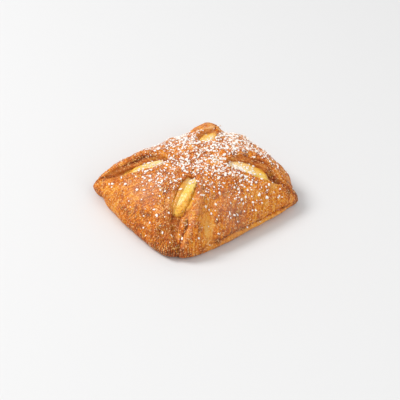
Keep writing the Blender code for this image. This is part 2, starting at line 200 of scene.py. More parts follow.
def flapSurface(flap, rows, along, inwards, lift):
    # a straight line between the two diagonals at each row, bowed outwards by its bulge, rounded
    # and bowed aside near the tips, at the height of a rim plus a dome, then moved along the normal
    start, end = corners[flap["start"]], corners[flap["end"]]
    tipA, tipB = tipOf(flap["start"]), tipOf(flap["end"])
    out, rim, dome = rows["out"], rows["rim"], rows["dome"]
    reach = np.clip(out, 0, 1)
    share = np.clip(along / flapLength(flap, out), 0, 1)
    across = 2 * share - 1
    atEnd = across > 0
    nearTip = across**4
    outward = unitVector(np.array([tipB[1] - tipA[1], tipA[0] - tipB[0]]))
    diagonal = np.where(atEnd[..., None], unitVector(tipB), unitVector(tipA))
    clockwise = np.stack([diagonal[..., 1], -diagonal[..., 0]], axis=-1)
    tip = {key: np.where(atEnd, end[key], start[key]) for key in ("rounding", "swerve", "rim", "slope", "curl")}
    bulge = flap["bulge"] * (1 - nearTip) * out**2
    rounding = tip["rounding"] * across**6 * out**2
    swerve = tip["swerve"] * np.abs(across) ** 3 * np.sin(np.pi * reach**2)
    plan = out[..., None] * (tipA + (tipB - tipA) * share[..., None])
    plan = plan + bulge[..., None] * outward - rounding[..., None] * diagonal + swerve[..., None] * clockwise
    heading = unitVector(outward + (diagonal - outward) * nearTip[..., None])
    rimHeight = pastry["rimHeight"] + (tip["rim"] - pastry["rimHeight"]) * nearTip
    slope = flap["slope"] + (tip["slope"] - flap["slope"]) * nearTip
    height = tip["curl"] * nearTip * reach**4 + rimHeight * rim + (pastry["height"] - rimHeight) * dome**slope
    puff = flap["puff"] * (1 - across**2) * np.sin(np.pi * np.where(rows["normalUp"] > 0, reach, 1))
    points = np.concatenate([plan, np.maximum(height, 0)[..., None]], axis=-1)
    up = np.broadcast_to(rows["normalUp"][..., None], height.shape + (1,))
    normal = np.concatenate([heading * rows["normalOut"][..., None], up], axis=-1)
    return points + normal * (puff + lift - inwards)[..., None], normal


def crustSurface(flap, rows, along, inwards):
    # the flap's surface with the curl of its two edges, the wrinkles and the swells
    out = rows["out"]
    lift = 0
    fromEnd = flapLength(flap, out) - along
    for key, distance in (("start", along), ("end", fromEnd)):
        corner = corners[flap[key]]
        gap, _, lip = slitShape(corner, out)
        lift = lift + flap[key + "Lift"] * besideSlit(corner, out) * hill(distance, gap + lip, pastry["curlWidth"])
    points, normal = flapSurface(flap, rows, along, inwards, lift)
    hills = sum(swell[5] * mm * swellShare(points, name) for name, swell in swells.items())
    return points + normal * ((wrinkles(points) + hills) * rows["rim"])[..., None], normal


def gridNormals(grid):
    # the cross product of the steps along the columns and the rows; columns run round the pastry
    aroundStep = np.roll(grid, -1, axis=1) - np.roll(grid, 1, axis=1)
    downStep = np.gradient(grid, axis=0)
    normal = np.cross(downStep, aroundStep)
    return normal / np.maximum(np.linalg.norm(normal, axis=-1, keepdims=True), 1e-12)


def addObject(name, data):
    made = bpy.data.objects.new(name, data)
    bpy.context.scene.collection.objects.link(made)
    return made


def closedPiece(name, upper, lower, attributes, topHeight, footHeight):
    # rings of points round the crown, with one point to close each end; the attributes are those of
    # the upper rings, and the lower ones repeat their last values
    grid = np.concatenate([upper, lower])
    rows, columns = grid.shape[:2]
    shift = np.array([pastry["crownX"], pastry["crownY"], 0])
    ends = np.array([[0, 0, topHeight], [0, 0, footHeight]])
    points = np.concatenate([grid.reshape(-1, 3), ends]) + shift
    index = np.arange(rows * columns).reshape(rows, columns)
    following = np.roll(index, -1, axis=1)
    quads = np.stack([index[:-1], index[1:], following[1:], following[:-1]], axis=-1).reshape(-1, 4)
    top = np.stack([np.full(columns, rows * columns), index[0], following[0]], axis=-1)
    foot = np.stack([np.full(columns, rows * columns + 1), following[-1], index[-1]], axis=-1)
    mesh = bpy.data.meshes.new(name)
    mesh.from_pydata(points.tolist(), [], quads.tolist() + top.tolist() + foot.tolist())
    mesh.shade_smooth()
    for key, values in attributes.items():
        allValues = np.concatenate([values, np.repeat(values[-1:], len(lower), axis=0)])
        flatValues = allValues.reshape(rows * columns, -1)
        closing = np.stack([flatValues[:columns].mean(axis=0), flatValues[-columns:].mean(axis=0)])
        kind, field = ("FLOAT", "value") if values.ndim == 2 else ("FLOAT_VECTOR", "vector")
        layer = mesh.attributes.new(key, kind, "POINT")
        layer.data.foreach_set(field, np.concatenate([flatValues, closing]).astype(np.float32).ravel())
    return addObject(name, mesh)


def toLinear(hexColour):
    # sRGB hex digits to linear light: c / 12.92 below 0.04045, else ((c + 0.055) / 1.055) ^ 2.4
    values = [int(hexColour[i:i + 2], 16) / 255 for i in (1, 3, 5)]
    return tuple(v / 12.92 if v <= 0.04045 else ((v + 0.055) / 1.055) ** 2.4 for v in values) + (1,)


def addNode(tree, kind, inputs=None, output=0, stops=(), **settings):
    # one node with its settings and links, which gives back one of its outputs; a socket among the
    # inputs is linked, anything else is a value, and stops are a colour ramp's places and colours
    made = tree.nodes.new("ShaderNode" + kind)
    for key, value in settings.items():
        setattr(made, key, value)
    for key, value in (inputs or {}).items():
        if isinstance(value, bpy.types.NodeSocket):
            tree.links.new(value, made.inputs[key])
        else:
            made.inputs[key].default_value = value
    for index, (position, colour) in enumerate(stops):
        elements = made.color_ramp.elements
        element = elements[index] if index < 2 else elements.new(position)
        element.position = position
        element.color = toLinear(colour)
    return made.outputs[output] if len(made.outputs) else None


def newMaterial(name, *pieces):
    # an empty material on the pieces, with the object coordinates that its patterns read
    material = bpy.data.materials.new(name)
    material.use_nodes = True
    tree = material.node_tree
    tree.nodes.clear()
    for piece in pieces:
        piece.data.materials.append(material)
    return tree, addNode(tree, "TexCoord", output="Object")


def layColours(tree, colour, look, layers):
    # colours laid over one another, each where value times factor plus mask rises from low to high
    for name, value, factor, mask, low, high, strength in layers:
        source = addNode(tree, "Math", {0: value, 1: factor, 2: mask}, operation="MULTIPLY_ADD")
        share = addNode(tree, "MapRange", {0: source, 1: low, 2: high, 3: 0, 4: strength})
        colour = addNode(tree, "Mix", {0: share, 6: colour, 7: toLinear(look[name])}, 2, data_type="RGBA")
    return colour


print("stage 1: crust")

# How much wider the edges beside the near valley are rolled over, as shares of rolledLip.
rolledShares = {("frontRight", "start"): 1, ("frontLeft", "end"): 0.7}

# The counts of rows and columns: the fine grid that is shown, and the solid's own coarse one, on
# which its lumps of sugar were placed. Shallow is the share of its depth that the valley below the
# near slit loses on its left side.
fineCounts = {"topRows": 104, "underRows": 14, "flapColumns": 120, "lipColumns": 12, "wallColumns": 22,
              "rolledLip": 4 * mm, "shallow": 0.72}
solidCounts = {"topRows": 25, "underRows": 4, "flapColumns": 16, "lipColumns": 3, "wallColumns": 3,
               "rolledLip": 0, "shallow": 0}

crustLook = {
    "slopeLength": 75 * mm,  # about the way from the crown to the rim
    "layers": 8,  # flaky layers down the cut edge of a flap
    "layerStep": 0.34 * mm,
    "facePitch": 1.25,  # in mm, the same layers where the cut is slanted, beside the near slit
    "blisterSize": 6 * mm,
    "blisterHeight": 0.40 * mm,
    "flakeSize": 7 * mm,  # thin scales of the top layer that have come loose
    "flakeHeight": 0.22 * mm,
    "crumpleSize": 2.6 * mm,
    "crumpleHeight": 0.26 * mm,
    "streakWidth": 1.8 * mm,
    "streakLength": 11 * mm,
    "streakHeight": 0.16 * mm,
    "pits": 110,
    "ragged": 0.6 * mm,  # how far the slits' edges waver to and fro
    "footHeight": 9.4,  # in mm, the crease above the foot of the front right side
}

# Heights of single forms above the crust, or below it where they are less than 0.
formHeights = {
    "pit": -0.6 * mm,
    "faceBrow": -0.5 * mm,  # the upper brink of the slanted cut
    "cutFace": -0.2 * mm,
    "foldCrease": -0.5 * mm,  # a crease along the upper part of each wall, and a bead of dough below it
    "foldBead": 0.8 * mm,
    "valleyCrease": -1.2 * mm,  # at the foot of the ridge beside the near valley, and the ridge's bead
    "valleyBead": 0.9 * mm,
    "footCrease": -1.2 * mm,
    "footBulge": 0.6 * mm,
    "leftFoot": 1.6 * mm,  # the fuller foot of the front left side
    "rightTuck": -1.1 * mm,  # the foot drawn in towards the right tip, and below the left tip
    "leftTuck": -3.2 * mm,
}

# The hills of the sugar's cover: middle x and y, reach along x and y, all in mm, and weight.
sugarHills = ((5, 2, 20.25, 20.25, 1), (38, 5, 25.65, 25.65, 0.88), (-4, 30, 32.4, 18.9, 0.52),
              (-32, 2, 16.2, 14.85, 0.38), (6, -26, 25.65, 21.6, 0.5))


def sugarCover(points, normal):
    # share of the surface under sugar: the sum of its hills and a thin even fall beyond them, in
    # patches, hardly any on the hood, and only where the surface faces up
    x, y = points[..., 0], points[..., 1]
    cover = 0.02 + sum(weight * hill(x, middleX * mm, reachX * mm) * hill(y, middleY * mm, reachY * mm)
                       for middleX, middleY, reachX, reachY, weight in sugarHills)
    patches = 0.75 + 0.5 * noiseAt(points, 7 * mm, 31)
    diagonal = unitVector(tipOf("back"))
    along = x * diagonal[0] + y * diagonal[1]
    aside = y * diagonal[0] - x * diagonal[1]
    hood = ease(along, 37 * mm, 42 * mm) * between(aside, -14 * mm, -10 * mm, 14 * mm, 18 * mm)
    return np.clip(cover, 0, 0.92) * patches * (1 - 0.95 * hood) * ease(normal[..., 2], 0.25, 0.75)


def crustBand(index, name, rows, counts):
    # one flap as a grid: up its start wall and over the lip, across the flap, and down at its end;
    # beside each point, what its colour and its fine relief are made from
    flap = flaps[name]
    out = rows["out"]
    upWall = np.linspace(1, 0, counts["wallColumns"] + 1)[None, :-1]
    turn = np.linspace(0, np.pi / 2, counts["lipColumns"] + 1)[None, :-1]
    sides = []
    for key in ("start", "end"):
        corner = corners[flap[key]]
        gap, depth, lip = slitShape(corner, out)
        rolled = counts["rolledLip"] * rolledShares.get((name, key), 0)
        if (name, key) == ("frontLeft", "end"):
            depth = depth * (1 - counts["shallow"] * ease(out, 0.72, 0.84))
        lip = np.minimum(lip + rolled * bump(out, 0.42, 1.0, 0.8, 1.0), np.maximum(0.9 * depth, lip))
        along = np.hstack([gap + 0 * upWall, gap + lip * (1 - np.cos(turn))])
        drop = np.hstack([lip + (depth - lip) * upWall, lip * (1 - np.sin(turn))])
        share = np.hstack([0.2 + 0.8 * upWall + 0 * out, 0.2 * (1 - np.sin(turn)) + 0 * out])
        sides.append((along, drop, share, gap + lip, besideSlit(corner, out)))
    (startAlong, startDrop, startShare, startEdge, startOpen), (endAlong, endDrop, endShare, endEdge, endOpen) = sides
    length = flapLength(flap, out)
    middle = startEdge + (length - startEdge - endEdge) * np.linspace(0, 1, counts["flapColumns"] + 1)[None, :]
    along = np.hstack([startAlong, middle, length - endAlong[:, ::-1]])
    drop = np.hstack([startDrop, 0 * middle, endDrop[:, ::-1]])
    points, _ = crustSurface(flap, rows, along, drop)
    fromStart = along - startEdge
    fromEnd = length - along - endEdge
    nearStart = fromStart < fromEnd
    extras = {
        "drop": drop,
        "wallShare": np.hstack([startShare, 0 * middle, endShare[:, ::-1]]),
        "edge": np.where(nearStart, fromStart, fromEnd),
        "open": np.where(nearStart, startOpen, endOpen),
        "out": out + 0 * along,
        "across": 2 * np.clip(along / length, 0, 1) - 1,
        "weave": along + np.where(nearStart, -drop, drop),
        "flap": index + 0 * along,
        "corner": np.where(nearStart, index, index + 1) % 4 + 0 * along,
    }
    return points, extras


def joinBands(bands):
    # the flaps one after the other, with a column in each seam, half way between its two walls
    joined = []
    for index, band in enumerate(bands):
        joined += [(bands[index - 1][:, -1:] + band[:, :1]) / 2, band]
    return np.concatenate(joined, axis=1)


def crustParts(counts):
    topRise = np.linspace(0, np.pi / 2, counts["topRows"] + 1)[1:]
    underTurn = np.linspace(0, np.pi / 2, counts["underRows"] + 1)[1:]
    rows = surfaceRows(topRise, underTurn)
    bands = [crustBand(index, name, rows, counts) for index, name in enumerate(flaps)]
    grid = joinBands([points for points, _ in bands])
    extras = {key: joinBands([extra[key] for _, extra in bands]) for key in bands[0][1]}
    return rows, grid, extras


lumpLook = {
    "amount": 70, "smallest": 0.85 * mm, "largest": 1.3 * mm,
    "spacing": 4 * mm,
    "sink": 0.35,
    "huddle": 1.25,  # above 1, the lumps lie thicker towards the crown
}


def lumpPlaces():
    # the solid's own lumps, by the same draws on the same coarse grid: at random on a flap clear of
    # its slits, thicker towards the crown, and each at least the spacing from those before it
    _, coarse, _ = crustParts(solidCounts)
    foot = coarse[-1:] * (pastry["flatShare"], pastry["flatShare"], 0)
    guide = closedPiece("guide", coarse, foot, {}, coarse[0, :, 2].max(), 0)
    draw = np.random.default_rng(11)
    count = lumpLook["amount"]
    radii = np.sort(draw.uniform(lumpLook["smallest"], lumpLook["largest"], count))[::-1]
    middles, upwards = [], []
    while len(middles) < count:
        radius = radii[len(middles)]
        flap = list(flaps.values())[draw.integers(len(flaps))]
        rise = np.arcsin(draw.uniform(0.03, 0.9) ** (lumpLook["huddle"] / 2))
        rows = surfaceRows([rise], [])
        length = flapLength(flap, rows["out"])[0, 0]
        along = length * draw.uniform()
        startGap, _, startLip = slitShape(corners[flap["start"]], rows["out"])
        endGap, _, endLip = slitShape(corners[flap["end"]], rows["out"])
        if min(along - startGap - startLip, length - along - endGap - endLip) < radius:
            continue
        point = crustSurface(flap, rows, np.array([[along]]), 0)[0][0, 0] + (pastry["crownX"], pastry["crownY"], 0)
        _, spot, turned, _ = guide.closest_point_on_mesh(point)
        middle = np.array(spot + turned * radius * (1 - 2 * lumpLook["sink"]))
        if all(np.linalg.norm(middle - other) > lumpLook["spacing"] for other in middles):
            middles.append(middle)
            upwards.append(np.array(turned))
    bpy.data.objects.remove(guide, do_unlink=True)
    return np.array(middles), radii, np.array(upwards)


lumpMiddles, lumpRadii, lumpUpwards = lumpPlaces()

# The shown crust departs a little from its solid: the hood hangs lower over the back slit and falls
# off beside it, the two side tips and the back are fitted closer, the valley below the near slit is
# wider and shallower, and the creases fade sooner towards the crown, where sugar fills them.
corners["back"]["slitTo"] = 0.65
corners["near"] |= {"seamDepth": 4.5 * mm, "seamGap": 5 * mm}
swells |= {
    "cheek": (55, 37, 45, 10, 7, -2.5),
    "shoulder": (-50, 47, 0, 15, 8, 1.8),
    "backDip": (-3, 48, 0, 11, 10, -1.4),
    "hoodSide": (32, 47, 0, 7, 9, 1.2),
    "hoodBrow": (41, 36, 135, 9, 5, 1.3),
    "earHollow": (63, -43, 90, 6, 7, -2.0),
    "earRoot": (61.5, -49, 90, 4.5, 6, -2.3),
}
for corner in corners.values():
    corner["seamFade"] = 2
crustRows, crustGrid, extras = crustParts(fineCounts)

# Where each point lies: on which flap, by which corner's slit, and how far out, across and down.
# The drop down a wall, the distance from a slit's edge and the height are in millimetres.
out, opened, across = (extras[key] for key in ("out", "open", "across"))
drop, edge, height = extras["drop"] / mm, extras["edge"] / mm, crustGrid[..., 2] / mm
frontRight, backRight, backLeft, frontLeft = (
    np.clip(1 - np.abs(extras["flap"] - index), 0, 1) for index in range(4))
byNear, byRight, byBack, byLeft = (np.abs(extras["corner"] - index) < 0.5 for index in range(4))
normal = gridNormals(crustGrid)
inWall = ease(drop, 0.4, 2)
onTop = 1 - inWall
nearEdge = hill(np.maximum(edge, 0), 0, 3.5)
weave = np.stack([extras["weave"], out * crustLook["slopeLength"], extras["flap"] * 60 * mm], axis=-1)

# Blisters stand up where the noise is high, the crumple goes both ways, the streaks run down from
# the crown, and the scales have crisp edges: their noise goes through a narrow smooth step.
blister = np.maximum(noiseAt(crustGrid, crustLook["blisterSize"], 1), -0.2) * crustLook["blisterHeight"]
crumple = noiseAt(crustGrid, crustLook["crumpleSize"], 2) * crustLook["crumpleHeight"]
streak = noiseAt(weave / (crustLook["streakWidth"], crustLook["streakLength"], 10 * mm), 1, 3)
scalePlace = weave * (1, 0.6, 1) / crustLook["flakeSize"]
scale = ease(noiseAt(scalePlace, 1, 4) + 0.35 * noiseAt(scalePlace, 1 / 3, 5), 0.02, 0.18)

# Flaky layers: a saw tooth of the share of the way down the wall, a little wavy along the slit.
alongWalls = weave * (0.3, 1, 1)
waver = 0.35 * noiseAt(alongWalls, 14 * mm, 6) + 0.15 * noiseAt(weave, 3 * mm, 7)
besideNear = byNear * frontLeft * between(out, 0.42, 0.6, 0.97, 1)
cutFace = besideNear * ease(edge, 7.5, 5.5) * onTop
faceBrow = besideNear * hill(edge, 7, 0.7)
layerPhase = extras["wallShare"] * crustLook["layers"] - np.maximum(edge, 0) / crustLook["facePitch"] + waver
sawTooth = (layerPhase % 1) - 0.5
layers = sawTooth * crustLook["layerStep"] * (inWall * np.clip(drop / 4, 0, 1) + 0.8 * cutFace)

# A fold in each wall: its crease, the painted shade round it and the bead below it.
creaseDrop = 2.0 + 0.7 * noiseAt(alongWalls, 9 * mm, 15) + 1.2 * byLeft * hill(out, 0.64, 0.07)
foldCrease = opened * hill(drop, creaseDrop, 0.9)
foldShade = opened * hill(drop, creaseDrop + 0.3, 1.7)
foldBead = opened * hill(drop, creaseDrop + 2.8, 1.3)

# The crease at the foot of the ridge beside the near valley, and the ridge's bead.
creaseEdge = np.interp(out, (0.76, 0.83, 0.89, 0.94, 0.98), (-1.5, 1.5, 1.7, 0.9, -0.8))
valleySide = byNear * frontRight * between(out, 0.74, 0.80, 0.97, 1.0)
valleyCrease = valleySide * hill(edge, creaseEdge, 0.8)
valleyBead = valleySide * hill(edge, creaseEdge + 3.2, 1.8)

# The foot of the front right side stands out, rounded, below a crease.
footLine = crustLook["footHeight"] - 1.6 * across**2
footLine = footLine + 0.8 * noiseAt(crustGrid, 13 * mm, 8) + 0.4 * noiseAt(crustGrid, 4 * mm, 16)
footMask = frontRight * between(across, -0.75, -0.3, 0.7, 0.88) * ease(out, 0.9, 0.96)
belowLine = ease(footLine - height, -0.1, 1.4)
footCrease = hill(height, footLine, 0.8)
sideForms = {
    "footCrease": footMask * footCrease,
    "footBulge": footMask * belowLine * ease(height, 2.5, 6),
    "leftFoot": frontLeft * between(height, -0.2, 1.6, 7, 12) * between(across, -0.5, 0, 0.75, 1),
    "rightTuck": frontRight * ease(height, 7, 2) * between(across, -0.2, 0.2, 0.75, 0.95) * ease(out, 0.85, 0.95),
    "leftTuck": frontLeft * ease(height, 11, 5) * between(across, -1, -0.85, -0.74, -0.54) * ease(out, 0.85, 0.95),
}

# Small burst blisters, each a shallow pit.
draw = np.random.default_rng(21)
pitRows = draw.integers(25, fineCounts["topRows"] - 3, crustLook["pits"])
pitColumns = draw.integers(0, crustGrid.shape[1], crustLook["pits"])
pitSizes = draw.uniform(0.6, 1.5, crustLook["pits"]) * mm
pit = np.zeros_like(height)
for row, column, size in zip(pitRows, pitColumns, pitSizes):
    away = np.linalg.norm(crustGrid - crustGrid[row, column], axis=-1)
    pit = np.maximum(pit, hill(away, 0, size) * size / (1.5 * mm))
pit *= onTop

detail = blister + crumple + streak * crustLook["streakHeight"] + scale * crustLook["flakeHeight"]
detail = detail * (1 - 0.7 * inWall) + layers
forms = {"pit": pit, "faceBrow": faceBrow, "cutFace": cutFace, "foldCrease": foldCrease, "foldBead": foldBead,
         "valleyCrease": valleyCrease, "valleyBead": valleyBead}
detail = detail + sum(formHeights[key] * share for key, share in forms.items())
detail = detail * ease(crustRows["rim"], 0.0, 0.5)  # none on the underside
sideways = sum(formHeights[key] * share for key, share in sideForms.items())
outwards = unitVector(normal * (1, 1, 0) + 1e-9)
crustGrid = crustGrid + normal * detail[..., None] + outwards * sideways[..., None]

# The slits' edges are ragged: moved to and fro across the slit by noise along it.
diagonals = np.array([unitVector(tipOf(name)) for name in corners])[np.round(extras["corner"]).astype(int)]
side = -np.sign(across)
alongSlit = np.stack([out * crustLook["slopeLength"], side * 20 * mm, extras["corner"] * 30 * mm], axis=-1)
ragged = noiseAt(alongSlit, 5 * mm, 41) + 0.7 * noiseAt(alongSlit, 1.9 * mm, 42)
ragged = ragged * hill(np.maximum(edge, 0), 0, 2.5) * ease(drop, 7, 3)
ragged = ragged * opened * side * crustLook["ragged"]
crustGrid[..., 0] -= ragged * diagonals[..., 1]
crustGrid[..., 1] += ragged * diagonals[..., 0]
crustGrid[..., 2] = np.maximum(crustGrid[..., 2], 0)
normal = gridNormals(crustGrid)

# How dark the crust is baked, from 0, pale, to 1, dark brown: an even part, patches, and places
# that are baked darker or, less than 0, stay paler; and painted light and shade: painted shade in the
# creases, deep in the slits and the near valley and under the hood, and painted highlights on beads.
lowFront = ease(out, 0.7, 0.85)
atRim = (nearEdge + inWall).clip(0, 1) * opened.clip(0, 1)
hoodBrow = byBack * hill(out, corners["back"]["slitTo"] - 0.035, 0.022) * hill(edge, 0, 5)
hoodSide = byBack * backLeft * hill(out, 0.665, 0.055) * hill(edge, 2.5, 6)
footLight = belowLine * (1 - 0.8 * ease(across, 0.2, 0.5)) * ease(height, 1.5, 4)
footLight = footLight * (0.4 + 0.6 * ease(noiseAt(crustGrid, 9 * mm, 18), -0.3, 0.3))
bakesAndShading = (
    (0.16, noiseAt(crustGrid, 13 * mm, 9)),
    (0.16, noiseAt(crustGrid, 5 * mm, 10)),
    (0.08, scale),
    (0.06, streak),
    (0.45, pit),
    (0.30, np.clip(blister + crumple, -0.3 * mm, 0.5 * mm) / mm),
    (0.04, ease(out, 0.55, 0.3)),
    # the front right flap: its sides, its middle, and its foot with the pale band over it, below a crease of painted
    # shade
    (0.12, frontRight * lowFront * hill(across, -0.1, 0.3)),
    (-0.14, frontRight * ease(across, 0.1, 0.4)),
    (-0.05, frontRight * ease(out, 0.62, 0.72)),
    (0.02, frontRight * between(out, 0.25, 0.4, 0.7, 0.82)),
    (0.13, frontRight * between(out, 0.25, 0.4, 0.58, 0.72)),
    # painted shade in the crease above the foot
    (0.50, footMask * footCrease),
    (-0.25, footMask * footLight),
    (0.15, footMask * ease(height, 4, 1)),
    # the front left flap
    (0.06, frontLeft * (1 - lowFront)),
    (0.24, frontLeft * lowFront * ease(across, 0.4, 0.65)),
    (-0.06, frontLeft * lowFront * ease(across, 0.3, -0.1)),
    # the near slit and its valley: painted shade down the valley's walls and in the crease at the ridge's foot, and a
    # painted highlight on the ridge's bead
    (-0.28, byNear * frontRight * hill(edge, 0, 8) * bump(out, 0.5, 0.84, 0.7, 0.7)),
    # painted shade, darker down the front right wall of the slit's lower end and its valley
    (0.45, byNear * frontRight * inWall * ease(out, 0.62, 0.75) * ease(drop, 1.5, 3.5)),
    (0.10, byNear * ease(out, 0.8, 0.88)),
    (0.02, cutFace),
    (0.35, faceBrow * between(out, 0.5, 0.6, 0.75, 0.85)),
    # painted shade in the crease at the foot of the ridge, and a painted highlight on its bead
    (0.75, valleyCrease),
    (-0.12, valleyBead),
    (0.04, swellShare(crustGrid, "ridge")),
    (-0.28, swellShare(crustGrid, "hollow")),
    # the back slit and its hood, with painted shade along the hood's lower edge and at its right end
    # painted shade along the hood's lower edge
    (0.42, backRight * hoodBrow),
    (0.14, backLeft * hoodBrow),
    (-0.30, hoodSide),
    (-0.14, byBack * ease(out, 0.62, 0.68) * ease(edge, 16, 10)),
    # painted shade at the hood's right end
    (0.22, byBack * backRight * hill(out, 0.66, 0.04) * hill(edge, 0, 4)),
    (0.08, backRight * ease(across, -0.3, -0.6) * ease(out, 0.6, 0.8)),
    # the left slit's far edge: darker in its fold's crease and the shade round it, painted shade, and paler on the bead
    # below, a painted highlight
    (1.00, byLeft * backLeft * atRim * ease(out, 0.36, 0.55)
     * (0.06 + 0.45 * foldCrease + 0.42 * foldShade - 0.12 * foldBead)),
    # the right slit's far edge, with painted shade in its fold's crease and a painted highlight on the bead below,
    # painted shade deep in the slit's outer end, and the right tip
    (1.00, byRight * backRight * atRim * (0.02 + 0.28 * foldCrease - 0.12 * foldBead)),
    (0.50, byRight * backRight * atRim * ease(noiseAt(crustGrid, 3 * mm, 11), 0.15, 0.5)),
    # painted shade deep in the right slit's outer end
    (0.50, byRight * ease(drop, 2.6, 4) * ease(out, 0.66, 0.74)),
    (0.30, byRight * frontRight * ease(out, 0.8, 0.9) * ease(across, 0.75, 0.9)),
    (0.20, byRight * ease(out, 0.9, 1.0) * ease(np.abs(across), 0.85, 0.97)),
)
toastAndShading = 0.38 + sum(amount * share for amount, share in bakesAndShading)

# A haze of powder where sugar lies, thicker on the slopes that face the back, and a pinkish bloom:
# of powder with the haze, on the near lip and the hood's side, a painted highlight on the valley's
# bead, and a patch of painted sheen of the glaze on each front flap.
backSlope = ease(crustGrid[..., 0] * 0.5 + crustGrid[..., 1] * 0.58, 14 * mm, 34 * mm)
haze = sugarCover(crustGrid, normal) * (1 - 0.8 * inWall) * (0.12 + 0.75 * backSlope) + 0.5 * hoodSide
powderedLip = byNear * frontRight * onTop * hill(edge, 0, 3) * between(out, 0.28, 0.36, 0.74, 0.84)
pinkness = 0.35 * haze + 0.5 * valleyBead + 0.6 * hoodSide + 0.45 * powderedLip
# patches of painted sheen on the front right and front left flaps
for x, y in ((-6, -50), (-48, 3)):
    pinkness = pinkness + 0.7 * hill(crustGrid[..., 0], x * mm, 14 * mm) * hill(crustGrid[..., 1], y * mm, 14 * mm)

# Honey-coloured glaze in the hollow and on the left slit's near lip; a smear of filling down the
# near slit's walls; and fine lines beside that slit on the front left flap, where its layers end.
leftLip = byLeft * frontLeft * hill(edge, -0.6, 1.4) * opened * ease(out, 0.35, 0.55)
attributes = {
    "toastAndShading": toastAndShading,
    "haze": haze + 0.26 * powderedLip,
    "pink": pinkness,
    "honey": (swellShare(crustGrid, "hollow") ** 0.6 * frontRight + 0.9 * leftLip) * onTop,
    "smear": byNear * ease(drop, 0.8, 2.2) * between(out, 0.27, 0.33, 0.62, 0.72),
    "band": footMask * footLight,
    "cut": np.maximum(inWall, 0.75 * cutFace),
    "layer": 2 * np.pi * layerPhase,
    "line": np.pi * edge,
    "lined": 0.34 * frontLeft * ease(out, 0.4, 0.6) * ease(across, 0, 0.2) * ease(edge, 22, 12),
    "weave": weave,
}
flat = crustGrid[-1:] * (pastry["flatShare"], pastry["flatShare"], 0)
crust = closedPiece("crust_baked", crustGrid, flat, attributes, crustGrid[0, :, 2].mean(), 0)
print("  crust", crustGrid.shape)


print("stage 2: filling")

fillingLook = {
    "rows": 110,
    "sideRows": 4,
    "columns": 80,
    "flapCover": 10 * mm,
    "reach": 0.77,
    "floor": 9 * mm,
    "belly": 0.03,
    "ridgeWidth": 14 * mm,
    "ridgeOverrun": 0.1,
    "humps": {"near": 2.9 * mm, "right": 0.5 * mm, "back": 0.4 * mm, "left": 1.5 * mm},  # its swelling in each slit
    "rightFall": 3 * mm,  # how far it falls away before the right tip
    "curdSize": 3.0 * mm,
    "curdHeight": 0.35 * mm,
    "fineSize": 1.2 * mm,
    "fineHeight": 0.16 * mm,
    "streakHeight": 0.22 * mm,
}


def fillingBand(name, rows):
    # the crust's dome sunk by the dough that covers it, less beside a slit, where a ridge swells up;
    # beside each point, how far it is across and along the nearest slit, and that slit's swelling
    flap = flaps[name]
    out = rows["out"]
    length = flapLength(flap, out)
    along = length * np.linspace(0, 1, fillingLook["columns"] + 1)[None, :-1]
    cover = fillingLook["flapCover"] + 0 * along
    aside = 1 + 0 * along
    outward = 0 * along
    hump = 0 * along
    overrun = fillingLook["ridgeOverrun"]
    for key, distance, side in ((flap["start"], along, 1), (flap["end"], length - along, -1)):
        corner = corners[key]
        ridge = bump(out, corner["slitFrom"] - overrun, corner["slitTo"] + overrun, 0.3, 0.3)
        ridge = ridge * np.exp(-((distance / fillingLook["ridgeWidth"]) ** 4))
        outer = ease(out, corner["slitFrom"], corner["slitTo"])
        sink = corner["sink"] + (corner["sinkOuter"] - corner["sink"]) * outer
        cover = cover - (fillingLook["flapCover"] - sink) * ridge
        inSlit = distance / corner["gap"]
        nearest = inSlit < np.abs(aside)
        shareOut = (out - corner["slitFrom"]) / (corner["slitTo"] - corner["slitFrom"])
        outward = np.where(nearest, shareOut, outward)
        aside = np.where(nearest, side * inSlit, aside)
        hump = np.where(nearest, fillingLook["humps"][key], hump)
    points, _ = flapSurface(flap, rows, along, cover, 0)
    return points, aside, outward, hump


fillingRows = surfaceRows(np.linspace(0, np.arcsin(fillingLook["reach"]), fillingLook["rows"] + 1)[1:], [])
bands = [fillingBand(name, fillingRows) for name in flaps]
fillingGrid, aside, outward, hump = (np.concatenate(parts, axis=1) for parts in zip(*bands))
nearSlit, rightSlit, backSlit, leftSlit = (hump == fillingLook["humps"][name] for name in corners)
inSlit = ease(np.abs(aside), 1.0, 0.8)

# It swells most in the middle of each slit; in the near one nearly as much at the edges, and most on
# the right.
swelling = hump * (1 - np.where(nearSlit, 0.05, 0.35) * np.clip(aside, -1.3, 1.3) ** 2) * bump(outward, 0, 1, 0.6, 0.6)
swelling = swelling * (1 + 0.9 * nearSlit * ease(aside, 0.0, 0.8) * ease(outward, 0.08, 0.35))
swelling = swelling - fillingLook["rightFall"] * rightSlit * ease(outward, 0.72, 0.92)
curds = noiseAt(fillingGrid, fillingLook["curdSize"], 12) * fillingLook["curdHeight"]
curds += noiseAt(fillingGrid, fillingLook["fineSize"], 13) * fillingLook["fineHeight"]
streaks = np.cos(aside * 8 + 1.5 * noiseAt(fillingGrid, 8 * mm, 14)) * fillingLook["streakHeight"]
streaks = streaks * inSlit * (1 - 0.8 * nearSlit)
fillingGrid = fillingGrid + gridNormals(fillingGrid) * (curds + streaks + swelling)[..., None]
fillingNormal = gridNormals(fillingGrid)
fillingHaze = sugarCover(fillingGrid, fillingNormal) * (
    0.4 * nearSlit + 0.25 * backSlit + 0.55 * leftSlit + 0.8 * rightSlit)

